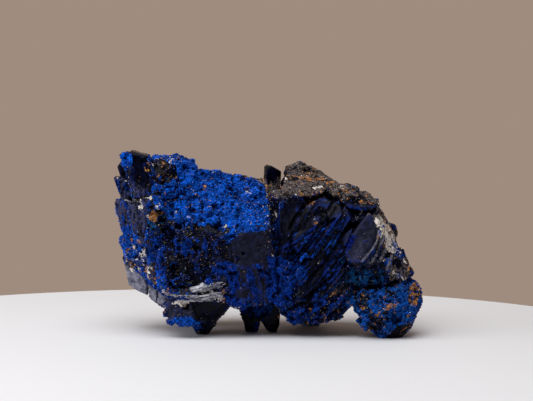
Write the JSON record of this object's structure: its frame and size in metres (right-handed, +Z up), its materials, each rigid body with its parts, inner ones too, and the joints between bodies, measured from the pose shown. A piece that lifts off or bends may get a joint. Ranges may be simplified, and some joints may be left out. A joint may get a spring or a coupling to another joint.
{
  "type": "azurite crystal cluster",
  "caption": "Cluster of dark blue tabular azurite crystals with a bright blue crust, a fan of overlapping plates and rusty specks, resting on crystal tips.",
  "frame": {"origin": "under the middle of the cluster, on the surface that it rests on", "axes": "+Z up, -Y towards the viewer of the picture, +X to the viewer's right along the cluster's length"},
  "size_m": [0.0472, 0.0244, 0.028],
  "materials": {
    "azurite_crystal": "vitreous, near-black blue crystal faces",
    "azurite_crust": "matt, bright blue crust of tiny crystals",
    "iron_oxide": "earthy, rusty brown grains",
    "chalky_coating": "earthy, off-white film"
  },
  "bodies": {
    "root": {"azurite_cluster": "azurite_crystal"}
  },
  "joints": []
}
